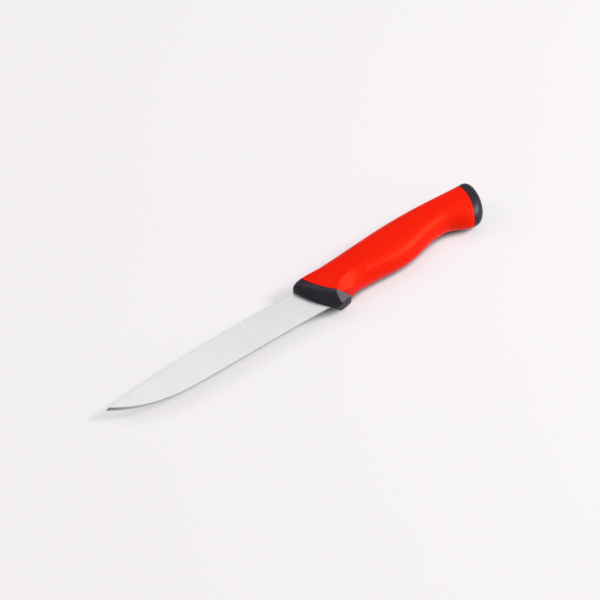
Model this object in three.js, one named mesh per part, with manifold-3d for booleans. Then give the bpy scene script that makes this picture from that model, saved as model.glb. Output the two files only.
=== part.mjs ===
// Vegetable knife with a two-material moulded handle, lying on its side.
// Millimetres. X runs from the tip (-) to the butt (+), the spine faces +Y, the edge faces -Y, Z is up.
// While the pieces are shaped, x = 0 is where the handle's front crosses the blade, y = 0 is the line of
// the blade's spine and z = 0 is the blade's middle plane. "Depth" is measured down from y = 0.

import * as THREE from 'three';
import { mergeVertices } from 'three/addons/utils/BufferGeometryUtils.js';
import Module from 'manifold-3d';

const wasm = await Module();
wasm.setup();

// Blade, ground flat from a stainless strip
const bladeLength = 120;
const bladeWidth = 18.4;
const tipDepth = 4.3;
const edgeSweep = 55;
const edgeSweepPower = 3;
const spineSweep = 80;
const spineSweepPower = 2;
const spineThickness = 1.6;
const edgeThickness = 0.5;
const bevelAngle = THREE.MathUtils.degToRad(18);
const bladeSeat = 4;

// Tang, the blade's hidden end
const tangDepth = 3;
const tangRootWidth = 9;
const tangEndWidth = 7;
const tangCorner = 2;
const tangSetback = 42;
const tangStart = 1;
const tangHoleDiameter = 5;
const tangHoleCount = 2;

// Handle outline, seen from the side
const handleLength = 113.6;
const spineFrontRise = 2.2;
const spineHumpRise = 6.2;
const spineHumpFromButt = 47;
const spineRearRise = 4.6;
const bellyFrontDepth = 17.2;
const bellyPalmDepth = 18;
const bellyPalmAt = 50;
const bellyWaistDepth = 13.1;
const bellyWaistFromButt = 34;
const bellyPommelDepth = 18.2;
const bellyPommelFromButt = 11;
const guardLip = 0.5;
const guardDrop = 4.2;
const guardFlarePower = 2;
const guardHeelRound = 2.4;

// Handle section, seen from the end
const sideHalf = 8.3;
const collarHalf = 7.3;
const collarTaper = 14;
const collarTaperBlend = 0.25;
const spineRound = 7.5;
const bellyRound = 10;
const spineFullness = 2.2;
const bellyFullness = 2.8;
const bellyFrontFullness = 4.5;
const bellyFrontBlend = 32;
const collarSpineRound = 5;
const collarBellyRound = 4;
const collarBellyFullness = 3;

// Collar and butt, the two ends of the hard core. Their faces and seams lean and bow in the side view:
// x = at + lean * depth + bow * depth squared.
const frontFace = { at: -4.2, lean: 0.313, bow: 0.0113 };
const frontSeam = { at: 1.5, lean: 0.385, bow: 0.0175 };
const noseRound = 5;
const collarLength = frontSeam.at - frontFace.at;
const noseLength = Math.min(noseRound, collarLength);
const noseInset = { spine: 2.6, side: 4, belly: 0.4 };
const buttCapLength = 4.9;
const rearSeam = { at: handleLength - buttCapLength, lean: -0.27, bow: -0.0078 };
const buttEnd = { at: handleLength, lean: -0.12, bow: -0.012 };
const buttRound = 4.4;
const crownLength = Math.min(buttRound, buttCapLength);

// Walls, locks and clearances
const gripWall = 2.2;
const lockGrooveDepth = 1;
const lockGrooveLength = 4;
const lockGrooveSlope = 1;
const lockWindowLength = 6;
const lockWindowWidth = 6;
const lockWindowCorner = 1.5;
const lockWindowCount = 2;
const mouldGap = 0.3;

// Facets
const bladeSteps = 30;
const tipRefine = 1.6;
const spineArcSteps = 8;
const sideSteps = 5;
const bellyArcSteps = 10;
const noseSteps = 6;
const collarSteps = 6;
const gripSteps = 34;
const gripFrontBias = 1.25;
const stemSteps = 12;
const buttSteps = 6;
const roundSteps = 8;
const settleRounds = 4;
const weldDistance = 1e-4;

function acrossHandle(curve, depth) {
  return curve.at + curve.lean * depth + curve.bow * depth * depth;
}

// A line that is level at each of its stations and eases from one to the next
function easedLine(stations, x) {
  const next = stations.findIndex(([at]) => at >= x);
  if (next === 0) return stations[0][1];
  if (next < 0) return stations[stations.length - 1][1];
  const [x0, y0] = stations[next - 1];
  const [x1, y1] = stations[next];
  return THREE.MathUtils.lerp(y0, y1, THREE.MathUtils.smoothstep(x, x0, x1));
}

const handleSpine = (x) => easedLine([
  [0, spineFrontRise],
  [handleLength - spineHumpFromButt, spineHumpRise],
  [handleLength, spineRearRise],
], x);

const gripBelly = (x) => -easedLine([
  [acrossHandle(frontSeam, bellyFrontDepth), bellyFrontDepth],
  [bellyPalmAt, bellyPalmDepth],
  [handleLength - bellyWaistFromButt, bellyWaistDepth],
  [handleLength - bellyPommelFromButt, bellyPommelDepth],
], x);

// Solids

// Joins half sections into one skin. Each half runs from spine to belly on the +Z side and is mirrored
// in the blade's plane. A sleeve joins its last half to its first; anything else is closed at both ends.
function loft(halves, isSleeve = false) {
  const count = halves[0].length;
  const ringSize = 2 * count;
  const positions = [];
  for (const half of halves) {
    for (const p of half) positions.push(p.x, p.y, p.z);
    for (const p of half.slice().reverse()) positions.push(p.x, p.y, -p.z);
  }
  const faces = [];
  const joins = isSleeve ? halves.length : halves.length - 1;
  for (let ring = 0; ring < joins; ring++) {
    const here = ring * ringSize;
    const there = ((ring + 1) % halves.length) * ringSize;
    for (let k = 0; k < ringSize; k++) {
      const n = (k + 1) % ringSize;
      faces.push(here + k, here + n, there + k, here + n, there + n, there + k);
    }
  }
  if (!isSleeve) {
    const last = (halves.length - 1) * ringSize;
    for (let k = 0; k < count - 1; k++) {
      const mirror = ringSize - 1 - k;
      faces.push(k, mirror, k + 1, k + 1, mirror, mirror - 1);
      faces.push(last + k, last + k + 1, last + mirror, last + k + 1, last + mirror - 1, last + mirror);
    }
  }
  const geometry = new THREE.BufferGeometry();
  geometry.setAttribute('position', new THREE.Float32BufferAttribute(positions, 3));
  geometry.setIndex(faces);
  return geometry;
}

function toSolid(geometry) {
  geometry.deleteAttribute('normal');
  geometry.deleteAttribute('uv');
  const merged = mergeVertices(geometry, weldDistance);
  const index = merged.index.array;
  const triangles = [];
  for (let i = 0; i < index.length; i += 3) {
    const [a, b, c] = index.slice(i, i + 3);
    if (a !== b && b !== c && c !== a) triangles.push(a, b, c);
  }
  return new wasm.Manifold(new wasm.Mesh({
    numProp: 3,
    vertProperties: new Float32Array(merged.attributes.position.array),
    triVerts: new Uint32Array(triangles),
  }));
}

function toGeometry(solid) {
  const mesh = solid.getMesh();
  const geometry = new THREE.BufferGeometry();
  geometry.setAttribute('position', new THREE.Float32BufferAttribute(mesh.vertProperties, 3));
  geometry.setIndex(Array.from(mesh.triVerts));
  geometry.computeVertexNormals();
  return geometry;
}

// A plate cut to an outline in the side view, centred on the blade's plane
function plate(shape, thickness) {
  const geometry = new THREE.ExtrudeGeometry(shape, {
    depth: thickness,
    bevelEnabled: false,
    curveSegments: roundSteps,
  });
  geometry.translate(0, 0, -thickness / 2);
  return toSolid(geometry);
}

// Blade and tang

// Half thickness of the flat-ground blade at a depth below its spine
function groundHalf(depth) {
  return THREE.MathUtils.lerp(spineThickness, edgeThickness, depth / bladeWidth) / 2;
}

// Half section of the blade at a distance from the tip: spine, shoulder of the cutting bevel, edge.
// The ground sides stay two planes, so the bevel widens as the edge sweeps up to the tip.
function bladeHalf(fromTip, grow) {
  const spineDepth = tipDepth * Math.max(0, 1 - fromTip / spineSweep) ** spineSweepPower;
  const edgeRise = (bladeWidth - tipDepth) * Math.max(0, 1 - fromTip / edgeSweep) ** edgeSweepPower;
  const edgeDepth = bladeWidth - edgeRise;
  const bevelSlope = Math.tan(bevelAngle);
  const grindSlope = (spineThickness - edgeThickness) / 2 / bladeWidth;
  const bevelWidth = Math.min(groundHalf(edgeDepth) / (bevelSlope - grindSlope), edgeDepth - spineDepth);
  const shoulderHalf = bevelWidth * bevelSlope;
  const spineHalf = Math.min(groundHalf(spineDepth), (edgeDepth - spineDepth) * bevelSlope);
  return [
    { depth: spineDepth - grow, half: spineHalf + grow },
    { depth: edgeDepth - bevelWidth, half: shoulderHalf + grow },
    { depth: edgeDepth + grow, half: grow },
  ];
}

// The blade from its tip to the slanted heel that is buried in the collar
function bladeBody(grow) {
  const halves = [];
  const straightEnd = bladeLength + frontFace.at;
  for (let i = 0; i <= bladeSteps; i++) {
    const fromTip = straightEnd * (i / bladeSteps) ** tipRefine;
    halves.push(bladeHalf(fromTip, grow)
      .map(({ depth, half }) => new THREE.Vector3(fromTip - bladeLength, -depth, half)));
  }
  const heelX = (depth) => acrossHandle(frontFace, depth) + bladeSeat + grow;
  halves.push(bladeHalf(bladeLength, grow)
    .map(({ depth, half }) => new THREE.Vector3(heelX(depth), -depth, half)));
  return toSolid(loft(halves));
}

const tangEnd = handleLength - tangSetback;

// The tang narrows to a rounded end. Its holes let the core's plastic pass through.
function tangPlate(grow) {
  const top = -tangDepth + grow;
  const rootBottom = -tangDepth - tangRootWidth - grow;
  const endBottom = -tangDepth - tangEndWidth - grow;
  const end = tangEnd + grow;
  const corner = tangCorner + grow;
  const shape = new THREE.Shape();
  shape.moveTo(acrossHandle(frontFace, -top) + tangStart - grow, top);
  shape.lineTo(acrossHandle(frontFace, -rootBottom) + tangStart - grow, rootBottom);
  shape.lineTo(end - corner, endBottom);
  shape.quadraticCurveTo(end, endBottom, end, endBottom + corner);
  shape.lineTo(end, top - corner);
  shape.quadraticCurveTo(end, top, end - corner, top);
  shape.closePath();
  const pitch = tangEnd / (tangHoleCount + 1);
  for (let i = 1; i <= tangHoleCount; i++) {
    const width = THREE.MathUtils.lerp(tangRootWidth, tangEndWidth, i / (tangHoleCount + 1));
    const hole = new THREE.Path();
    hole.absarc(i * pitch, -tangDepth - width / 2, tangHoleDiameter / 2 - grow, 0, 2 * Math.PI);
    shape.holes.push(hole);
  }
  return plate(shape, spineThickness + 2 * grow);
}

function bladeSolid(grow = 0) {
  return bladeBody(grow).add(tangPlate(grow));
}

// Handle sections

// Half section between a spine height and a belly height: a rounded spine, a flat side and a fuller,
// rounded belly, both rounds as quarter superellipses that run on from the flat side.
function handleHalf({ top, bottom, half, topRound, bottomRound, topFullness, bottomFullness }) {
  const fit = Math.min(1, (top - bottom) / (topRound + bottomRound));
  const points = [];
  for (let i = 0; i <= spineArcSteps; i++) {
    const turn = (i / spineArcSteps) * Math.PI / 2;
    const y = top - fit * topRound * (1 - Math.cos(turn) ** (2 / topFullness));
    points.push({ y, z: half * Math.sin(turn) ** (2 / topFullness) });
  }
  const flatStart = top - fit * topRound;
  const flatEnd = bottom + fit * bottomRound;
  for (let i = 1; i < sideSteps; i++) {
    points.push({ y: THREE.MathUtils.lerp(flatStart, flatEnd, i / sideSteps), z: half });
  }
  for (let i = 0; i <= bellyArcSteps; i++) {
    const turn = (1 - i / bellyArcSteps) * Math.PI / 2;
    const y = bottom + fit * bottomRound * (1 - Math.cos(turn) ** (2 / bottomFullness));
    points.push({ y, z: half * Math.sin(turn) ** (2 / bottomFullness) });
  }
  return points;
}

// The lower of two heights, with the crease between them slightly softened
function softMin(a, b, blend) {
  const mix = THREE.MathUtils.clamp(0.5 + (b - a) / (2 * blend), 0, 1);
  return THREE.MathUtils.lerp(b, a, mix) - blend * mix * (1 - mix);
}

// The height where a slanted station meets the spine line or the belly line
function settle(line, station, start) {
  let y = start;
  for (let i = 0; i < settleRounds; i++) y = line(station(-y));
  return y;
}

// Section points set on their slanted station
function placed(points, station) {
  return points.map(({ y, z }) => new THREE.Vector3(station(-y), y, z));
}

// Half section of the grip's outer skin at a share of the way from the front seam to the rear seam,
// or of a skin that lies a given depth under it
function gripHalf(share, inset = 0) {
  const station = (depth) => THREE.MathUtils.lerp(
    acrossHandle(frontSeam, depth), acrossHandle(rearSeam, depth), share);
  const behindSeam = station(0) - frontSeam.at;
  const taperedHalf = THREE.MathUtils.lerp(collarHalf, sideHalf, behindSeam / collarTaper);
  const fromFront = THREE.MathUtils.smoothstep(behindSeam, 0, bellyFrontBlend);
  const points = handleHalf({
    top: settle(handleSpine, station, spineFrontRise) - inset,
    bottom: settle(gripBelly, station, -bellyFrontDepth) + inset,
    half: sideHalf - inset,
    topRound: THREE.MathUtils.lerp(collarSpineRound, spineRound, fromFront) - inset,
    bottomRound: bellyRound - inset,
    topFullness: spineFullness,
    bottomFullness: THREE.MathUtils.lerp(bellyFrontFullness, bellyFullness, fromFront),
  });
  const isTapered = behindSeam < collarTaper;
  const side = (z) => (isTapered ? softMin(z, taperedHalf - inset, collarTaperBlend) : z);
  return placed(points.map(({ y, z }) => ({ y, z: Math.max(0, side(z)) })), station);
}

// Half section of the collar at a share of the way from its front face to the seam. The front edge is
// rounded, and the guard hangs below the grip's belly with a rounded heel.
function collarHalfSection(share) {
  const station = (depth) => THREE.MathUtils.lerp(
    acrossHandle(frontFace, depth), acrossHandle(frontSeam, depth), share);
  const rounding = Math.max(0, 1 - share * collarLength / noseLength);
  const nose = 1 - Math.sqrt(1 - rounding ** 2);
  const guardDepth = THREE.MathUtils.lerp(guardLip, guardDrop, share ** guardFlarePower);
  const heel = guardHeelRound * Math.max(0, 1 - (1 - share) * collarLength / guardHeelRound) ** 2;
  const points = handleHalf({
    top: settle(handleSpine, station, spineFrontRise) - nose * noseInset.spine,
    bottom: -bladeWidth - guardDepth + nose * noseInset.belly + heel,
    half: collarHalf - nose * noseInset.side,
    topRound: collarSpineRound - nose * noseInset.spine,
    bottomRound: collarBellyRound - nose * noseInset.belly,
    topFullness: spineFullness,
    bottomFullness: collarBellyFullness,
  });
  return placed(points, station);
}

// Half section of the butt at a share of the way from the rear seam to the end
function buttHalf(share) {
  const station = (depth) => THREE.MathUtils.lerp(
    acrossHandle(rearSeam, depth), acrossHandle(buttEnd, depth), share);
  const rounding = Math.max(0, 1 - (1 - share) * buttCapLength / crownLength);
  const crown = crownLength * (1 - Math.sqrt(1 - rounding ** 2));
  const points = handleHalf({
    top: settle(handleSpine, station, spineRearRise) - crown,
    bottom: settle(gripBelly, station, -bellyPommelDepth) + crown,
    half: sideHalf - crown,
    topRound: spineRound - crown,
    bottomRound: bellyRound - crown,
    topFullness: spineFullness,
    bottomFullness: bellyFullness,
  });
  return placed(points, station);
}

// Shares of the grip's length where the stem changes depth: a lock groove at each end
const gripLength = rearSeam.at - frontSeam.at;
const grooveShare = lockGrooveLength / gripLength;
const grooveEndShare = (lockGrooveLength + lockGrooveSlope) / gripLength;

// The stem's half sections, as they are or with room round them for the sleeve
function stemHalves(gap) {
  const stops = [[gap / gripLength, true], [grooveShare - gap / gripLength, true]];
  for (let i = 0; i <= stemSteps; i++) {
    stops.push([THREE.MathUtils.lerp(grooveEndShare, 1 - grooveEndShare, i / stemSteps), false]);
  }
  stops.push([1 - grooveShare + gap / gripLength, true], [1 - gap / gripLength, true]);
  return stops.map(([share, inGroove]) => gripHalf(share, gripWall + (inGroove ? lockGrooveDepth : 0) - gap));
}

// Locking windows, spread over the stem between the tang's end and the rear groove
function lockWindows(shrink, height) {
  const first = tangEnd;
  const last = acrossHandle(rearSeam, 0) - lockGrooveLength - lockGrooveSlope;
  const pitch = (last - first) / lockWindowCount;
  const half = { x: lockWindowLength / 2 - shrink, y: lockWindowWidth / 2 - shrink };
  const corner = lockWindowCorner - shrink;
  let windows;
  for (let i = 0; i < lockWindowCount; i++) {
    const x = first + (i + 0.5) * pitch;
    const y = (handleSpine(x) + gripBelly(x)) / 2;
    const shape = new THREE.Shape();
    shape.absarc(x + half.x - corner, y + half.y - corner, corner, 0, Math.PI / 2);
    shape.absarc(x - half.x + corner, y + half.y - corner, corner, Math.PI / 2, Math.PI);
    shape.absarc(x - half.x + corner, y - half.y + corner, corner, Math.PI, 1.5 * Math.PI);
    shape.absarc(x + half.x - corner, y - half.y + corner, corner, 1.5 * Math.PI, 2 * Math.PI);
    shape.closePath();
    const window = plate(shape, height);
    windows = windows ? windows.add(window) : window;
  }
  return windows;
}

// Core: collar, stem and butt in one moulding, with the tang's slot, pegs through the tang's holes and
// the windows that the sleeve locks into
function coreSolid() {
  const halves = [];
  const noseShare = noseLength / collarLength;
  for (let i = 0; i <= noseSteps; i++) {
    const turn = (i / noseSteps) * Math.PI / 2;
    halves.push(collarHalfSection((1 - Math.cos(turn)) * noseShare));
  }
  for (let i = 1; i <= collarSteps; i++) {
    const turn = (i / collarSteps) * Math.PI / 2;
    halves.push(collarHalfSection(THREE.MathUtils.lerp(noseShare, 1, Math.sin(turn))));
  }
  halves.push(gripHalf(0), ...stemHalves(0));
  const crownShare = 1 - crownLength / buttCapLength;
  halves.push(buttHalf(0));
  for (let i = 0; i <= buttSteps; i++) {
    const turn = (i / buttSteps) * Math.PI / 2;
    halves.push(buttHalf(THREE.MathUtils.lerp(crownShare, 1, Math.sin(turn))));
  }
  const windows = lockWindows(0, 2 * sideHalf);
  return toSolid(loft(halves)).subtract(bladeSolid(mouldGap)).subtract(windows);
}

// Grip: a sleeve over the stem that fills the lock grooves and bridges the windows
function gripSolid() {
  const outer = [];
  const first = mouldGap / gripLength;
  for (let i = 0; i <= gripSteps; i++) {
    outer.push(gripHalf(THREE.MathUtils.lerp(first, 1 - first, (i / gripSteps) ** gripFrontBias)));
  }
  const inner = stemHalves(mouldGap).reverse();
  const bridges = lockWindows(mouldGap, 2 * sideHalf - gripWall);
  return toSolid(loft([...outer, ...inner], true)).add(bridges);
}

// Assembly

function piece(name, solid, colour, roughness, metalness) {
  const material = new THREE.MeshStandardMaterial({ color: colour, roughness, metalness });
  const mesh = new THREE.Mesh(toGeometry(solid), material);
  mesh.name = name;
  return mesh;
}

const pieces = new THREE.Group();
pieces.add(piece('blade', bladeSolid(), 0xe4e4e3, 0.35, 1));
pieces.add(piece('handle_core', coreSolid(), 0x222026, 0.45, 0));
pieces.add(piece('soft_grip', gripSolid(), 0xf42712, 0.55, 0));

// The knife lies on the flat sides of its grip: the origin is the middle of its box, on the table
const box = new THREE.Box3().setFromObject(pieces);
const middle = box.getCenter(new THREE.Vector3());
pieces.position.set(-middle.x, -middle.y, -box.min.z);

const knife = new THREE.Group();
knife.add(pieces);

export default knife;
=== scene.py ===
# %% [markdown]
# # A vegetable knife with a two-material handle
# The knife is three pieces: a blade ground from a strip of stainless steel, a hard dark core that is
# moulded round the blade's hidden end, and a soft red sleeve that is moulded over the core. The packed
# model is loaded first, because every piece here stands where its solid stands.

# %% Load the frame
import math

import bmesh
import bpy
import numpy as np
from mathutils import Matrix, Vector


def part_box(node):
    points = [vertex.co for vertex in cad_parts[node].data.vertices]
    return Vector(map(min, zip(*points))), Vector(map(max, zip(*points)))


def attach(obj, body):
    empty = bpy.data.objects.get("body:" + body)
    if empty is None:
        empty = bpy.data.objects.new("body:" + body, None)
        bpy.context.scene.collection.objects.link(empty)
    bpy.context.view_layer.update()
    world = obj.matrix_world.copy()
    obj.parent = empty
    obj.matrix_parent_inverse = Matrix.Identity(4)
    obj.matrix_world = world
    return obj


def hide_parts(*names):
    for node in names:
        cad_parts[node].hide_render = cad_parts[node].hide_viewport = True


MM = 0.001


def in_mm(lengths):
    return [round(length / MM, 1) for length in lengths]


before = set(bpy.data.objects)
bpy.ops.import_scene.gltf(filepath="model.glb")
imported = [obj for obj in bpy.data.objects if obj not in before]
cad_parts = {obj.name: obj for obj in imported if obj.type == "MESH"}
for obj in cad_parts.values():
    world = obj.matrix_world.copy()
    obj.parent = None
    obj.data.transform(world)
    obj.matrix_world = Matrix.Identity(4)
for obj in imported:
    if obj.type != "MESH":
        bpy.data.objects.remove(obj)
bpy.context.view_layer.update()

# %% [markdown]
# ## The knife's own axes
# A knife is easiest to describe from the place where its handle meets the blade. X runs back towards the
# butt, y = 0 is the line of the blade's spine and z = 0 is the blade's middle plane, all in millimetres.
# One helper turns such a point into metres in the frame, so no piece has to be fitted by eye.

# %% Knife's own axes
BLADE_LENGTH = 120
blade_low, blade_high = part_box("blade")
heel = Vector((blade_low.x + BLADE_LENGTH * MM, blade_high.y, (blade_low.z + blade_high.z) / 2))


def at(x, y, z):
    return heel + Vector((x, y, z)) * MM


print("handle meets blade at, mm:", in_mm(heel))

# %% [markdown]
# ## The blade starts as a strip
# Real blades are blanked from rolled strip. The outline could also be drawn and extruded, but then the
# thin edge would have to be pushed in afterwards. From a strip, every later step is a cut, as in a
# workshop. The strip is a cube primitive of the right size, and it runs on past the heel, because that
# end is buried in the collar.

# %% Strip of steel
BLADE_WIDTH = 18.4
SPINE_THICKNESS = 1.6
STRIP_BEHIND_HEEL = 12

bpy.ops.object.select_all(action="DESELECT")
strip_length = BLADE_LENGTH + STRIP_BEHIND_HEEL
bpy.ops.mesh.primitive_cube_add(
    size=MM,
    location=at(STRIP_BEHIND_HEEL - strip_length / 2, -BLADE_WIDTH / 2, 0),
    scale=(strip_length, BLADE_WIDTH, SPINE_THICKNESS),
)
blade = bpy.context.active_object
blade.name = "ground_blade"
bpy.ops.object.transform_apply(location=True, rotation=True, scale=True)
print(blade.name, "strip, mm:", in_mm(blade.dimensions))

# %% [markdown]
# ## Cutting it like a grinder
# Every face of this blade bulges outwards or is flat, so straight cuts are enough: each cut is one bisect
# that throws away the side its normal points to and fills the opening. Two slanted cuts grind the sides
# thin towards the edge. A row of upright cuts, each touching the spine's parabola, drops the spine to the
# tip.

# %% Grind the sides and the spine
EDGE_THICKNESS = 0.36
TIP_DEPTH = 5
SPINE_SWEEP = 80
SPINE_CUTS = 10
CUT_TOLERANCE = 1e-8


def cut(point, outward):
    bpy.ops.mesh.select_all(action="SELECT")
    bpy.ops.mesh.bisect(
        plane_co=point, plane_no=outward, use_fill=True, clear_outer=True, threshold=CUT_TOLERANCE
    )


def spine_depth(from_tip):
    return TIP_DEPTH * max(0, 1 - from_tip / SPINE_SWEEP) ** 2


def slope(line, from_tip, step=0.01):
    return (line(from_tip + step) - line(from_tip - step)) / (2 * step)


bpy.ops.object.mode_set(mode="EDIT")
grind_slope = (SPINE_THICKNESS - EDGE_THICKNESS) / 2 / BLADE_WIDTH
for side in (1, -1):
    cut(at(0, 0, side * SPINE_THICKNESS / 2), Vector((0, -grind_slope, side)))
for i in range(SPINE_CUTS):
    from_tip = SPINE_SWEEP * i / SPINE_CUTS
    outward = Vector((slope(spine_depth, from_tip), 1, 0))
    cut(at(from_tip - BLADE_LENGTH, -spine_depth(from_tip), 0), outward)
print("faces after grinding:", len(bmesh.from_edit_mesh(blade.data).faces))

# %% [markdown]
# ## The cutting edge
# The edge sweeps up to the tip, and a narrow bevel on each side makes it sharp. A bevel cut leans in from
# the edge at the honing angle. A pair of such cuts at each step along the sweep makes the outline and the
# bevel at once. Towards the tip the edge climbs into thicker steel, which would widen the bevel. So over
# the last centimetre the honing angle grows and keeps the bevel narrow, and a high power of the way left
# holds that to the tip.

# %% Hone the edge
EDGE_SWEEP = 55
EDGE_CUTS = 30
BEVEL_ANGLE = math.radians(20)
TIP_BEVEL_ANGLE = math.radians(27)
TIP_ONLY_POWER = 8


def edge_depth(from_tip):
    return BLADE_WIDTH - (BLADE_WIDTH - TIP_DEPTH) * max(0, 1 - from_tip / EDGE_SWEEP) ** 3


for i in range(EDGE_CUTS + 1):
    from_tip = EDGE_SWEEP * i / EDGE_CUTS
    point = at(from_tip - BLADE_LENGTH, -edge_depth(from_tip), 0)
    outward = Vector((-slope(edge_depth, from_tip), -1, 0)).normalized()
    tip_share = (1 - i / EDGE_CUTS) ** TIP_ONLY_POWER
    angle = BEVEL_ANGLE + (TIP_BEVEL_ANGLE - BEVEL_ANGLE) * tip_share
    for side in (1, -1):
        cut(point, outward * math.sin(angle) + Vector((0, 0, side * math.cos(angle))))
print("faces after honing:", len(bmesh.from_edit_mesh(blade.data).faces))

# %% [markdown]
# ## Heel and spine of the blade
# The heel is cut off on a slant inside the collar. The two long edges of the spine are broken with a
# small round, as a maker does so that the spine does not bite the finger. The bevel tool stops short of
# the tip, where the spine is too thin to take it. Shading stays sharp wherever two ground faces meet at
# more than a few degrees.

# %% Finish the blade's shape
HEEL_AT_SPINE = -0.5
HEEL_LEAN = 9.1
SPINE_BREAK = 0.2
TIP_LEFT_SHARP = 4
SPINE_FACING = 0.9
SIDE_FACING = 0.1
GROUND_CORNER = math.radians(8)

cut(at(HEEL_AT_SPINE, 0, 0), Vector((BLADE_WIDTH, HEEL_LEAN, 0)))
bpy.ops.mesh.select_all(action="DESELECT")
shape = bmesh.from_edit_mesh(blade.data)
shape.normal_update()
sharp_end = blade_low.x + TIP_LEFT_SHARP * MM
for edge in shape.edges:
    if len(edge.link_faces) == 2 and all(corner.co.x > sharp_end for corner in edge.verts):
        side_face, spine_face = sorted(face.normal.y for face in edge.link_faces)
        edge.select_set(spine_face > SPINE_FACING and abs(side_face) < SIDE_FACING)
bmesh.update_edit_mesh(blade.data)
bpy.ops.mesh.bevel(offset=SPINE_BREAK * MM, segments=3, affect="EDGES", clamp_overlap=False)
bpy.ops.mesh.select_all(action="SELECT")
bpy.ops.mesh.normals_make_consistent(inside=False)
bpy.ops.object.mode_set(mode="OBJECT")
bpy.ops.object.shade_smooth_by_angle(angle=GROUND_CORNER)
print(blade.name, "mm:", in_mm(blade.dimensions))

# %% [markdown]
# ## The handle's lines
# Seen from the side, the handle is four lines: the spine with its hump, the belly with its palm swell,
# finger waist and pommel, the collar's slanted front and the butt. Spine and belly ease from one station
# to the next, so a few pairs of length and height draw them. The collar, both seams and the butt lean and
# bow, so each of those is a short formula: where it crosses the blade's spine line, how much it leans and
# how much it bows.

# %% Lines of the handle
HANDLE_LENGTH = 113.6
FRONT_FACE = (-4.5, 0.33, 0.0113)
FRONT_SEAM = (1.5, 0.375, 0.0195)
REAR_SEAM = (106.7, -0.05, -0.0145)
BUTT_END = (HANDLE_LENGTH, -0.04, -0.0165)
SPINE_STATIONS = ((0, 2.5), (66.6, 6.3), (HANDLE_LENGTH, 4.7))
BELLY_STATIONS = ((14, -17.3), (29, -17.1), (54, -18.4), (84, -13.1), (86, -13.1), (101, -19.2))
CREST_STATIONS = ((6, -8), (22, -7.6), (58, -6.6), (84, -3.8), (108, -5.6))


def across(curve, y):
    start, lean, bow = curve
    return start - lean * y + bow * y * y


def between(start, end, share):
    return lambda y: across(start, y) + (across(end, y) - across(start, y)) * share


def eased(stations, x):
    for (x0, y0), (x1, y1) in zip(stations, stations[1:]):
        if x < x1:
            share = min(1, max(0, (x - x0) / (x1 - x0)))
            return y0 + (y1 - y0) * share * share * (3 - 2 * share)
    return stations[-1][1]


print("handle, mm:", HANDLE_LENGTH, "long; spine hump", max(y for _, y in SPINE_STATIONS))

# %% [markdown]
# ## Where lines and stations meet
# A station leans, so where it meets the spine depends on the height, and the height depends on where they
# meet. A guess, put right a few times, settles that. The crest changes so slowly that one look-up is
# enough for it.

# %% Meeting points
SPINE_GUESS = 3
CREST_GUESS = -8
BELLY_GUESS = -17
CORRECTIONS = 5


def meet(stations, station_x, guess):
    y = guess
    for _ in range(CORRECTIONS):
        y = eased(stations, station_x(y))
    return y


def handle_heights(station_x):
    top = meet(SPINE_STATIONS, station_x, SPINE_GUESS)
    crest = eased(CREST_STATIONS, station_x(CREST_GUESS))
    bottom = meet(BELLY_STATIONS, station_x, BELLY_GUESS)
    return top, crest, bottom


halfway = handle_heights(between(FRONT_SEAM, REAR_SEAM, 0.5))
print("top, crest and bottom halfway along the grip, mm:", [round(height, 1) for height in halfway])

# %% [markdown]
# ## One section of the handle
# Cut across, each side of the handle is a shallow roof: it falls gently from a soft crest towards the
# spine, and rounds over to the belly. Both halves are superellipses, round or square according to their
# fullness. Another surface can be laid over a side as a ceiling: the lower of the two stays, and a short
# blend makes the crease between them. The points are then spread evenly along the path, so that the mesh
# gets faces of one size.

# %% Section of the handle
ROOF_SLOPE = math.tan(math.radians(1))
CREST_SOFT = 2
CREASE_BLEND = 0.06
PATH_POINTS = 160
HALF_POINTS = 75


def soft_min(heights, ceiling):
    mix = np.clip(0.5 + (ceiling - heights) / (2 * CREASE_BLEND), 0, 1)
    return np.maximum(0, ceiling + (heights - ceiling) * mix - CREASE_BLEND * mix * (1 - mix))


def half_section(top, crest, bottom, half, spine_full, belly_full, ceiling=None):
    turn = np.linspace(0, math.pi / 2, PATH_POINTS)
    rise, fall = np.sin(turn), np.cos(turn)
    up = (top - crest) * fall ** (2 / spine_full)
    roof_drop = ROOF_SLOPE * (np.hypot(up, CREST_SOFT) - CREST_SOFT)
    spine_half = half if ceiling is None else ceiling
    spine_z = np.maximum(0, spine_half - roof_drop) * rise ** (2 / spine_full)
    belly_y = crest + (bottom - crest) * rise ** (2 / belly_full)
    belly_z = half * fall ** (2 / belly_full)
    if ceiling is not None:
        belly_z = soft_min(belly_z, ceiling)
    return np.append(crest + up, belly_y[1:]), np.append(spine_z, belly_z[1:])


def ring(path_y, path_z, station_x):
    walked = np.append(0, np.cumsum(np.hypot(np.diff(path_y), np.diff(path_z))))
    even = np.linspace(0, walked[-1], HALF_POINTS)
    pairs = zip(np.interp(even, walked, path_y), np.interp(even, walked, path_z))
    upper = [(station_x(y), y, z) for y, z in pairs]
    lower = [(x, y, -z) for x, y, z in reversed(upper[1:-1])]
    return [at(*point) for point in upper + lower]


def flattened(points):
    return [Vector((point.x, point.y, heel.z)) for point in points]


print("points in one ring:", 2 * HALF_POINTS - 2)

# %% [markdown]
# ## Extruding from ring to ring
# By hand this is the way to make a long moulded form: add a circle, shape it, extrude its rim and shape
# the new rim, again and again. The helper does the same. A form that should be closed starts and ends
# with a ring pressed flat on the blade's plane, so that merging doubles zips it shut. A sleeve ends on
# the ring it began with.

# %% Helper that extrudes a form
START_RADIUS = 10
MERGE_DISTANCE = 1e-7
SLIVER = 1e-8
MOULDED_CORNER = math.radians(35)


def new_rim(shape, old_rim):
    first_new = len(shape.verts) - len(old_rim)
    rim = []
    for corner in (shape.verts[index] for index in old_rim):
        ends = [edge.other_vert(corner).index for edge in corner.link_edges]
        rim.append(next(end for end in ends if end >= first_new))
    return rim


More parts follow.
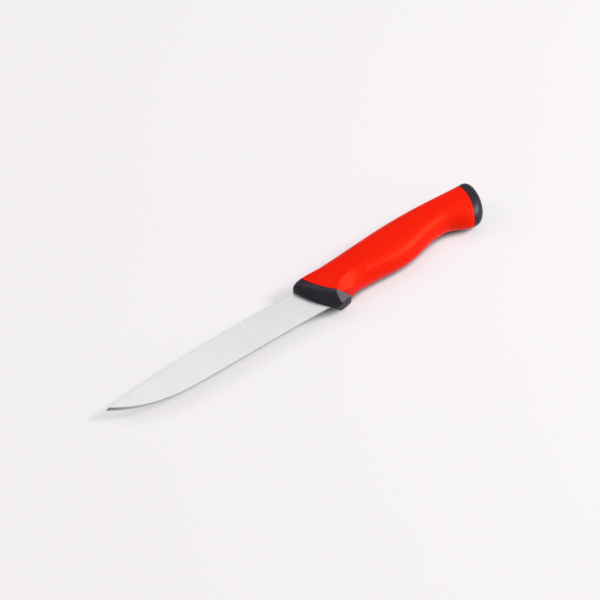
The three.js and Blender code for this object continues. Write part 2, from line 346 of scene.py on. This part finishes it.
def extruded_form(name, rings):
    bpy.ops.object.select_all(action="DESELECT")
    bpy.ops.mesh.primitive_circle_add(vertices=len(rings[0]), radius=START_RADIUS * MM, location=(0, 0, 0))
    form = bpy.context.active_object
    form.name = name
    bpy.ops.object.mode_set(mode="EDIT")
    rim = list(range(len(rings[0])))
    for step, places in enumerate(rings):
        if step:
            bpy.ops.mesh.extrude_region_move()
        shape = bmesh.from_edit_mesh(form.data)
        shape.verts.index_update()
        shape.verts.ensure_lookup_table()
        if step:
            rim = new_rim(shape, rim)
        for corner, place in zip(rim, places):
            shape.verts[corner].co = place
    bmesh.update_edit_mesh(form.data)
    bpy.ops.mesh.select_all(action="SELECT")
    bpy.ops.mesh.remove_doubles(threshold=MERGE_DISTANCE)
    bpy.ops.mesh.dissolve_degenerate(threshold=SLIVER)
    bpy.ops.mesh.normals_make_consistent(inside=False)
    bpy.ops.object.mode_set(mode="OBJECT")
    bpy.ops.object.shade_smooth_by_angle(angle=MOULDED_CORNER)
    print(name, "faces:", len(form.data.polygons), "mm:", in_mm(form.dimensions))
    return form


print("corners are merged within, mm:", round(MERGE_DISTANCE / MM, 6))

# %% [markdown]
# ## The skin of the grip
# The grip's skin runs from seam to seam. Right behind the collar its sides are lower and rise in a short
# taper, and its section is squarer than the round one further back. Behind the guard the forefinger has a
# shallow scallop, which leans in towards the belly. It could be carved with a Boolean, but as a ceiling
# over the section it keeps the rings even, and its edge is the one crisp line on the soft grip. An inset
# gives the skins under the first one.

# %% Skin of the grip
SIDE_HALF = 8.3
COLLAR_HALF = 7.2
TAPER_LENGTH = 18
FRONT_BLEND = 14
FRONT_SPINE_FULL, FRONT_BELLY_FULL = 6, 5
REAR_SPINE_FULL, REAR_BELLY_FULL = 3.6, 2
SCALLOP_X, SCALLOP_Y = 25, -17
SCALLOP_HALF = 4.2
SCALLOP_HOLLOW = 0.012
SCALLOP_LEAN = 0.53
GRIP_LENGTH = REAR_SEAM[0] - FRONT_SEAM[0]


def finger_scallop(x, y):
    return SCALLOP_HALF + SCALLOP_HOLLOW * (x - SCALLOP_X) ** 2 + SCALLOP_LEAN * (y - SCALLOP_Y)


def grip_ring(share, inset=0):
    station = between(FRONT_SEAM, REAR_SEAM, share)
    behind_seam = share * GRIP_LENGTH
    blend = eased(((0, 0), (FRONT_BLEND, 1)), behind_seam)
    taper = max(0, 1 - behind_seam / TAPER_LENGTH)
    top, crest, bottom = handle_heights(station)
    y, z = half_section(
        top=top - inset,
        crest=crest,
        bottom=bottom + inset,
        half=SIDE_HALF - inset,
        spine_full=FRONT_SPINE_FULL + (REAR_SPINE_FULL - FRONT_SPINE_FULL) * blend,
        belly_full=FRONT_BELLY_FULL + (REAR_BELLY_FULL - FRONT_BELLY_FULL) * blend,
        ceiling=SIDE_HALF - inset - (SIDE_HALF - COLLAR_HALF) * taper**2 if taper else None,
    )
    return ring(y, soft_min(z, finger_scallop(station(y), y) - inset), station)


print("grip, mm:", GRIP_LENGTH, "from seam to seam along the blade's spine line")

# %% [markdown]
# ## The stem inside the grip
# The core is thinner where the grip covers it, and has a groove near each end. The soft plastic fills
# both grooves and can't slide off. The same rings, a hair larger, are the inside of the sleeve.

# %% Stem rings
GRIP_WALL = 2.2
LOCK_GROOVE = 1
GROOVE_LENGTH = 4
GROOVE_SLOPE = 1
SHOT_GAP = 0.04
STEM_STEPS = 26


def stem_rings(gap):
    deep, shallow = GRIP_WALL + LOCK_GROOVE - gap, GRIP_WALL - gap
    groove = (gap / GRIP_LENGTH, (GROOVE_LENGTH - gap) / GRIP_LENGTH)
    first = (GROOVE_LENGTH + GROOVE_SLOPE) / GRIP_LENGTH
    last = 1 - first
    stops = [(share, deep) for share in groove]
    stops += [(first + (last - first) * i / STEM_STEPS, shallow) for i in range(STEM_STEPS + 1)]
    stops += [(1 - share, deep) for share in reversed(groove)]
    return [grip_ring(*stop) for stop in stops]


print("stem is under a wall of, mm:", GRIP_WALL)

# %% [markdown]
# ## The soft sleeve
# The sleeve goes out along the skin and back along the stem, so it is one closed tube. Its two ends are
# rounded over a few tenths of a millimetre, which draws the fine line that a real seam between two
# plastics shows. The rings stand a little closer together at the front, where the skin changes most.

# %% Soft sleeve
SKIN_STEPS = 120
SKIN_CROWDING = 1.15
END_ROUND = 0.4
END_STEPS = 3


def rounded_end(step):
    turn = step / END_STEPS * math.pi / 2
    behind_seam = SHOT_GAP + END_ROUND * (1 - math.cos(turn))
    return behind_seam / GRIP_LENGTH, END_ROUND * (1 - math.sin(turn))


front_end = [rounded_end(step) for step in range(END_STEPS + 1)]
rear_end = [(1 - share, inset) for share, inset in reversed(front_end)]
start, stop = front_end[-1][0], rear_end[0][0]
crowded = [(i / SKIN_STEPS) ** SKIN_CROWDING for i in range(1, SKIN_STEPS)]
skin = front_end + [(start + (stop - start) * share, 0) for share in crowded] + rear_end
sleeve = [grip_ring(*place) for place in skin] + stem_rings(SHOT_GAP)[::-1]
grip = extruded_form("soft_red_grip", sleeve + sleeve[:1])

# %% [markdown]
# ## Collar and finger guard
# The collar's front is rounded like a nose, so that the blade seems to grow out of it. The nose is blunt
# by the spine and sharper by the edge. Below, the collar deepens into the finger guard, which stands
# proud of the grip's belly. The finger scallop runs on over the guard and leaves a light facet on its
# end. Towards the front it follows the scallop's rise at half the pace, so that the facet reaches down to
# the guard's front corner.

# %% Collar rings
COLLAR_STEPS = 48
COLLAR_CREST = -12
COLLAR_TOP = SPINE_STATIONS[0][1]
COLLAR_TOP_DROP = 2
NOSE_DEPTHS = (0, 17.5)
NOSE_BLUNT = (3.2, 1.45)
KEEL_FRONT_FULL, KEEL_REAR_FULL = 3.4, 3.6
GUARD_DEPTH = 21.6
GUARD_LEAN = 0.8
GUARD_FLAT_START, GUARD_FLAT_END = 0.18, 0.2
GUARD_FRONT_RISE = 0.6
GUARD_FRONT_POWER = 1.5
GUARD_REAR_RISE = 1.2


def collar_front(y):
    below_blade = np.maximum(0, -y - BLADE_WIDTH)
    return across(FRONT_FACE, np.maximum(y, -BLADE_WIDTH)) + GUARD_LEAN * below_blade


def guard_bottom(share):
    ahead = max(0, 1 - share / GUARD_FLAT_START)
    behind = max(0, (share - GUARD_FLAT_END) / (1 - GUARD_FLAT_END))
    return -GUARD_DEPTH + GUARD_FRONT_RISE * ahead**GUARD_FRONT_POWER + GUARD_REAR_RISE * behind**2


def collar_ring(share):
    def station(y):
        return collar_front(y) + (across(FRONT_SEAM, y) - collar_front(y)) * share

    y, z = half_section(
        top=COLLAR_TOP - COLLAR_TOP_DROP * (1 - share) ** 2,
        crest=COLLAR_CREST,
        bottom=guard_bottom(share),
        half=COLLAR_HALF,
        spine_full=FRONT_SPINE_FULL,
        belly_full=KEEL_FRONT_FULL + (KEEL_REAR_FULL - KEEL_FRONT_FULL) * share**2,
    )
    blunt = np.interp(-y, NOSE_DEPTHS, NOSE_BLUNT)
    nose = COLLAR_HALF * (1 - (1 - share) ** blunt) ** (1 / blunt)
    facet = finger_scallop((station(y) + across(FRONT_SEAM, y)) / 2, y)
    return ring(y, soft_min(soft_min(z, nose), facet), station)


collar_shares = [0.5 - 0.5 * math.cos(i / COLLAR_STEPS * math.pi) for i in range(COLLAR_STEPS + 1)]
collar = [collar_ring(share) for share in collar_shares]
print("collar rings:", len(collar))

# %% [markdown]
# ## The butt
# Behind the grip the core comes out again as a cap. Its rim turns over on a quarter circle. Its end
# follows the bowed line of the butt in the side view, and is straight across the handle's thickness.

# %% Butt rings
BUTT_LENGTH = BUTT_END[0] - REAR_SEAM[0]
BUTT_ROUND = 4.4
BUTT_STEPS = 16


def butt_ring(turn):
    reach = BUTT_LENGTH - BUTT_ROUND * (1 - math.sin(turn))
    crown = BUTT_ROUND * (1 - math.cos(turn))
    station = between(REAR_SEAM, BUTT_END, reach / BUTT_LENGTH)
    top, crest, bottom = handle_heights(station)
    y, z = half_section(
        top=top - crown,
        crest=crest,
        bottom=bottom + crown,
        half=SIDE_HALF - crown,
        spine_full=REAR_SPINE_FULL,
        belly_full=REAR_BELLY_FULL,
    )
    return ring(y, z, station)


butt = [butt_ring(i / BUTT_STEPS * math.pi / 2) for i in range(BUTT_STEPS + 1)]
print("butt rings:", len(butt))

# %% [markdown]
# ## The core in one moulding
# Collar, stem and butt are one shot of plastic, so they are one form: the rings simply follow each other
# from the front of the collar to the end of the butt, and both ends are zipped shut.

# %% Core
at_front_seam, at_rear_seam = grip_ring(0), grip_ring(1)
core_rings = collar + [at_front_seam] + stem_rings(0)
core_rings += [at_rear_seam] + butt + [flattened(butt[-1])]
core = extruded_form("hard_core", core_rings)

# %% [markdown]
# ## Colours and nodes
# Colours are written as sRGB hex, as an eye-dropper gives them, and turned to linear by one function,
# which holds the standard's own constants. Another small function adds a node, sets it up and links it,
# so that each material below reads as a list of what it is made of.

# %% Helpers for materials


def linear(hex_colour):
    parts = [int(hex_colour[i:i + 2], 16) / 255 for i in (1, 3, 5)]
    lit = [part / 12.92 if part <= 0.04045 else ((part + 0.055) / 1.055) ** 2.4 for part in parts]
    return lit + [1]


def add(tree, kind, settings=None, **links):
    node = tree.nodes.new(kind)
    for name, value in (settings or {}).items():
        if name in node.inputs:
            node.inputs[name].default_value = value
        else:
            setattr(node, name, value)
    for name, source in links.items():
        tree.links.new(source, node.inputs[name.replace("_", " ")])
    return node


def new_material(name):
    material = bpy.data.materials.new(name)
    material.use_nodes = True
    tree = material.node_tree
    tree.nodes.clear()
    return material, tree


print("half grey is linear", round(linear("#808080")[0], 3))

# %% [markdown]
# ## Satin-ground stainless steel
# The sides of the blade are finished on a fine belt that runs across them, from spine to edge. That
# leaves hair-thin scratches a few hundredths of a millimetre apart, which spread reflections along the
# blade. Here they are noise stretched across the blade, drawn at a third of a millimetre because finer
# lines would not show. A second, broad noise makes the grey a little uneven, as a belt leaves it.

# %% Satin-ground steel
GRIND_LINE = 0.33 * MM
GRIND_LENGTH = 16.5 * MM
BELT_PATCH = 25 * MM
steel, tree = new_material("satin_ground_stainless_steel")
place = add(tree, "ShaderNodeTexCoord")
stretched = add(
    tree, "ShaderNodeMapping", {"Scale": (1 / GRIND_LINE, 1 / GRIND_LENGTH, 1)},
    Vector=place.outputs["Object"],
)
lines = add(
    tree, "ShaderNodeTexNoise", {"Scale": 1, "Detail": 3, "Roughness": 0.6}, Vector=stretched.outputs[0]
)
patches = add(
    tree, "ShaderNodeTexNoise", {"Scale": 1 / BELT_PATCH, "Detail": 2}, Vector=place.outputs["Object"]
)
gloss = add(
    tree, "ShaderNodeMapRange", {"From Min": 0.3, "From Max": 0.7, "To Min": 0.26, "To Max": 0.36},
    Value=lines.outputs["Fac"],
)
tone = add(tree, "ShaderNodeValToRGB", Fac=patches.outputs["Fac"])
tone.color_ramp.elements[0].color = linear("#D0D1D0")
tone.color_ramp.elements[1].color = linear("#D9D9D8")
scratch = add(
    tree, "ShaderNodeBump", {"Strength": 0.12, "Distance": 0.01 * MM}, Height=lines.outputs["Fac"]
)
metal = add(
    tree, "ShaderNodeBsdfPrincipled", {"Metallic": 1},
    Base_Color=tone.outputs["Color"], Roughness=gloss.outputs["Result"], Normal=scratch.outputs["Normal"],
)
add(tree, "ShaderNodeOutputMaterial", Surface=metal.outputs["BSDF"])
print(steel.name, "lines every", round(GRIND_LINE / MM, 2), "mm")

# %% [markdown]
# ## Honed cutting bevel
# The bevel is honed on a finer wheel after the sides are ground, so it is smoother and mirrors the room
# more sharply. Its grey is darker than that of the sides as painted shade, standing in for the dark
# reflection that shows it as a fine line along the edge.
# It is a second material on the blade, given to the faces that lean by about the honing angle. Its lines
# are drawn coarser than they are.

# %% Honed bevel
HONE_LINE = 0.15 * MM
HONE_LENGTH = 1.5 * MM
BEVEL_FACING = (0.75, 0.97)
bevel_painted_dark, tree = new_material("honed_bevel_painted_shade")
place = add(tree, "ShaderNodeTexCoord")
stretched = add(
    tree, "ShaderNodeMapping", {"Scale": (1 / HONE_LINE, 1 / HONE_LENGTH, 1)},
    Vector=place.outputs["Object"],
)
lines = add(tree, "ShaderNodeTexNoise", {"Scale": 1, "Detail": 2}, Vector=stretched.outputs[0])
gloss = add(tree, "ShaderNodeMapRange", {"To Min": 0.14, "To Max": 0.24}, Value=lines.outputs["Fac"])
# The darker base grey is painted shade for the dark reflection along the edge, not a property of the
# steel.
metal = add(
    tree, "ShaderNodeBsdfPrincipled", {"Metallic": 1, "Base Color": linear("#9C9EA0")},
    Roughness=gloss.outputs["Result"],
)
add(tree, "ShaderNodeOutputMaterial", Surface=metal.outputs["BSDF"])

blade.data.materials.append(steel)
blade.data.materials.append(bevel_painted_dark)
for face in blade.data.polygons:
    if BEVEL_FACING[0] < abs(face.normal.z) < BEVEL_FACING[1]:
        face.material_index = 1
print("bevel faces:", sum(face.material_index for face in blade.data.polygons))

# %% [markdown]
# ## Moulded hard plastic
# The core is a filled polypropylene, near black with a trace of violet in its colour and its gloss. Its
# mould was spark-eroded to a fine grain, which breaks up the gloss, so highlights on it are broad and
# grey. The grain is drawn at 0.35 mm, because the real one is too fine to show.

# %% Hard plastic
SPARK_GRAIN = 0.35 * MM
FLOW_STREAK = 11.1 * MM
hard, tree = new_material("moulded_black_polypropylene")
place = add(tree, "ShaderNodeTexCoord")
grain = add(
    tree, "ShaderNodeTexNoise", {"Scale": 1 / SPARK_GRAIN, "Detail": 2}, Vector=place.outputs["Object"]
)
streaks = add(
    tree, "ShaderNodeTexNoise", {"Scale": 1 / FLOW_STREAK, "Detail": 3}, Vector=place.outputs["Object"]
)
tone = add(tree, "ShaderNodeValToRGB", Fac=streaks.outputs["Fac"])
tone.color_ramp.elements[0].color = linear("#130F19")
tone.color_ramp.elements[1].color = linear("#18131F")
gloss = add(tree, "ShaderNodeMapRange", {"To Min": 0.36, "To Max": 0.5}, Value=grain.outputs["Fac"])
bumps = add(tree, "ShaderNodeBump", {"Strength": 0.2, "Distance": 0.02 * MM}, Height=grain.outputs["Fac"])
plastic = add(
    tree, "ShaderNodeBsdfPrincipled",
    {"IOR": 1.49, "Specular IOR Level": 0.46, "Specular Tint": (0.9, 0.82, 1, 1)},
    Base_Color=tone.outputs["Color"], Roughness=gloss.outputs["Result"], Normal=bumps.outputs["Normal"],
)
add(tree, "ShaderNodeOutputMaterial", Surface=plastic.outputs["BSDF"])
core.data.materials.append(hard)
print(hard.name, "grain, mm:", round(SPARK_GRAIN / MM, 2))

# %% [markdown]
# ## Soft red elastomer
# The sleeve is a thermoplastic elastomer: a strong red, slightly rubbery to the eye. Its gloss is weak
# and warm, and flow in the mould leaves it a little uneven. Its grain is finer than the core's, and is
# drawn at 0.25 mm, because the real one is too fine to show.

# %% Soft elastomer
SKIN_GRAIN = 0.25 * MM
FLOW_SIZE = 12 * MM
soft, tree = new_material("moulded_red_elastomer")
place = add(tree, "ShaderNodeTexCoord")
grain = add(
    tree, "ShaderNodeTexNoise", {"Scale": 1 / SKIN_GRAIN, "Detail": 2}, Vector=place.outputs["Object"]
)
flow = add(
    tree, "ShaderNodeTexNoise", {"Scale": 1 / FLOW_SIZE, "Detail": 2}, Vector=place.outputs["Object"]
)
tone = add(tree, "ShaderNodeValToRGB", Fac=flow.outputs["Fac"])
tone.color_ramp.elements[0].color = linear("#F31805")
tone.color_ramp.elements[1].color = linear("#F61C07")
gloss = add(tree, "ShaderNodeMapRange", {"To Min": 0.38, "To Max": 0.46}, Value=flow.outputs["Fac"])
bumps = add(tree, "ShaderNodeBump", {"Strength": 0.1, "Distance": 0.01 * MM}, Height=grain.outputs["Fac"])
rubber = add(
    tree, "ShaderNodeBsdfPrincipled",
    {"IOR": 1.5, "Specular IOR Level": 0.12, "Specular Tint": (1, 0.7, 0.25, 1)},
    Base_Color=tone.outputs["Color"], Roughness=gloss.outputs["Result"], Normal=bumps.outputs["Normal"],
)
add(tree, "ShaderNodeOutputMaterial", Surface=rubber.outputs["BSDF"])
grip.data.materials.append(soft)
print(soft.name, "grain, mm:", round(SKIN_GRAIN / MM, 2))

# %% [markdown]
# ## Riding on the frame
# The knife has no joint, so every piece rides on the one body. Each stands for its solid, which is
# hidden.

# %% Tie the pieces to the frame
for piece, node, finish in (
    (blade, "blade", "blade_steel"),
    (core, "handle_core", "hard_plastic"),
    (grip, "soft_grip", "soft_elastomer"),
):
    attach(piece, "root")
    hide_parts(node)
    print(piece.name, "stands for", node)

# %% [markdown]
# ## The table
# The photograph's ground is a plain pale table with a trace of pink. A large plane takes the knife's soft
# shadows. What the camera sees of it, straight or by way of a mirroring or clear surface, is partly a glow
# of its own colour, so that it looks pale without more light on the knife. The ambient occlusion node
# darkens the table where the knife lies close over it, as under the blade's heel, because the glow would
# wash that shadow out.

# %% Table
TABLE_SIZE = 4
TABLE_PATCH = 333 * MM
PALENESS = 0.55
NOOK_REACH = 14 * MM
NOOK_CLOSED, NOOK_OPEN = 0.22, 0.44
NOOK_SHADE = 0.05


def seen_by_eye(tree):
    path = add(tree, "ShaderNodeLightPath")
    seen = path.outputs["Is Camera Ray"]
    for kind in ("Is Glossy Ray", "Is Transmission Ray"):
        either = add(tree, "ShaderNodeMath", {"operation": "MAXIMUM"})
        tree.links.new(seen, either.inputs[0])
        tree.links.new(path.outputs[kind], either.inputs[1])
        seen = either.outputs[0]
    return seen


bpy.ops.object.select_all(action="DESELECT")
bpy.ops.mesh.primitive_plane_add(size=TABLE_SIZE, location=(0, 0, 0))
table = bpy.context.active_object
table.name = "table"
pale, tree = new_material("pale_table")
place = add(tree, "ShaderNodeTexCoord")
patches = add(
    tree, "ShaderNodeTexNoise", {"Scale": 1 / TABLE_PATCH, "Detail": 2}, Vector=place.outputs["Object"]
)
tone = add(tree, "ShaderNodeValToRGB", Fac=patches.outputs["Fac"])
tone.color_ramp.elements[0].color = linear("#F5F1F4")
tone.color_ramp.elements[1].color = linear("#F7F4F7")
nook = add(tree, "ShaderNodeAmbientOcclusion", {"samples": 16, "Distance": NOOK_REACH})
light_left = add(
    tree, "ShaderNodeMapRange", {"From Min": NOOK_CLOSED, "From Max": NOOK_OPEN, "To Min": NOOK_SHADE},
    Value=nook.outputs["AO"],
)
shaded = add(
    tree, "ShaderNodeVectorMath", {"operation": "SCALE"},
    Vector=tone.outputs["Color"], Scale=light_left.outputs["Result"],
)
matt = add(tree, "ShaderNodeBsdfDiffuse", Color=shaded.outputs["Vector"])
glow = add(tree, "ShaderNodeEmission", Color=shaded.outputs["Vector"])
glow_share = add(tree, "ShaderNodeMapRange", {"To Max": PALENESS}, Value=seen_by_eye(tree))
table_mix = add(tree, "ShaderNodeMixShader", Fac=glow_share.outputs["Result"])
tree.links.new(matt.outputs["BSDF"], table_mix.inputs[1])
tree.links.new(glow.outputs["Emission"], table_mix.inputs[2])
add(tree, "ShaderNodeOutputMaterial", Surface=table_mix.outputs["Shader"])
table.data.materials.append(pale)
print("table, m:", round(table.dimensions.x, 1))

# %% [markdown]
# ## Studio lamps
# The photograph was lit by a large soft box overhead and by lamps to the right and left, which make the
# two faint shadows at the tip. The right one is small and strong, and draws the light band along the
# grip. A low, weak box on the edge's side lightens the end of the guard. The helper takes the brightness
# that a lamp's face should show, because that is what the blade mirrors, and works out the lamp's power
# from it.

# %% Lamps
LAMP_DISTANCE = 1.5


def softbox(name, direction, size, brightness):
    way = Vector(direction).normalized()
    bpy.ops.object.light_add(
        type="AREA", location=way * LAMP_DISTANCE, rotation=way.to_track_quat("Z", "Y").to_euler()
    )
    lamp = bpy.context.active_object
    lamp.name = name
    lamp.data.shape = "SQUARE"
    lamp.data.size = size
    lamp.data.energy = brightness * math.pi * size * size


softbox("overhead_softbox", (0.08, 0.2, 0.95), size=1.4, brightness=0.87)
softbox("right_lamp", (0.6, -0.42, 0.68), size=0.38, brightness=31)
softbox("low_fill", (0.5, -0.83, 0.22), size=0.9, brightness=1.2)
softbox("left_lamp", (-0.57, 0.51, 0.64), size=0.7, brightness=2.7)

# %% [markdown]
# ## The room
# The walls of the studio give a weak, even light. To the camera, and in the blade, they look brighter than
# they shine, so that the steel looks pale while the knife is lit at a plain level.

# %% Room
ROOM_LIGHT = 0.25
ROOM_SEEN = 0.5
room = bpy.data.worlds.new("studio_room")
room.use_nodes = True
tree = room.node_tree
tree.nodes.clear()
strength = add(
    tree, "ShaderNodeMapRange", {"To Min": ROOM_LIGHT, "To Max": ROOM_SEEN}, Value=seen_by_eye(tree)
)
walls = add(
    tree, "ShaderNodeBackground", {"Color": linear("#FFFFFF")}, Strength=strength.outputs["Result"]
)
add(tree, "ShaderNodeOutputWorld", Surface=walls.outputs["Background"])
bpy.context.scene.world = room
bpy.context.scene.view_settings.view_transform = "Standard"
print(room.name, "gives", ROOM_LIGHT, "and shows", ROOM_SEEN)

# %% [markdown]
# ## The camera
# The camera stands where the photographer stood: to the tip's side, looking steeply down over the edge.
# Its distance and focal length come from the way the knife narrows towards the butt.

# %% Camera
CAMERA_AZIMUTH = math.radians(-35.7)
CAMERA_HEIGHT = math.radians(53)
CAMERA_DISTANCE = 0.75
FOCAL_LENGTH = 86.65
SENSOR_WIDTH = 36
LOOKED_AT = at(-0.82, -0.37, -8.3)
away = Vector((
    math.sin(CAMERA_AZIMUTH) * math.cos(CAMERA_HEIGHT),
    -math.cos(CAMERA_AZIMUTH) * math.cos(CAMERA_HEIGHT),
    math.sin(CAMERA_HEIGHT),
))
bpy.ops.object.camera_add(
    location=LOOKED_AT + away * CAMERA_DISTANCE, rotation=away.to_track_quat("Z", "Y").to_euler()
)
camera = bpy.context.active_object
camera.data.lens = FOCAL_LENGTH
camera.data.sensor_width = SENSOR_WIDTH
bpy.context.scene.camera = camera
print("camera at, m:", [round(v, 3) for v in camera.location])
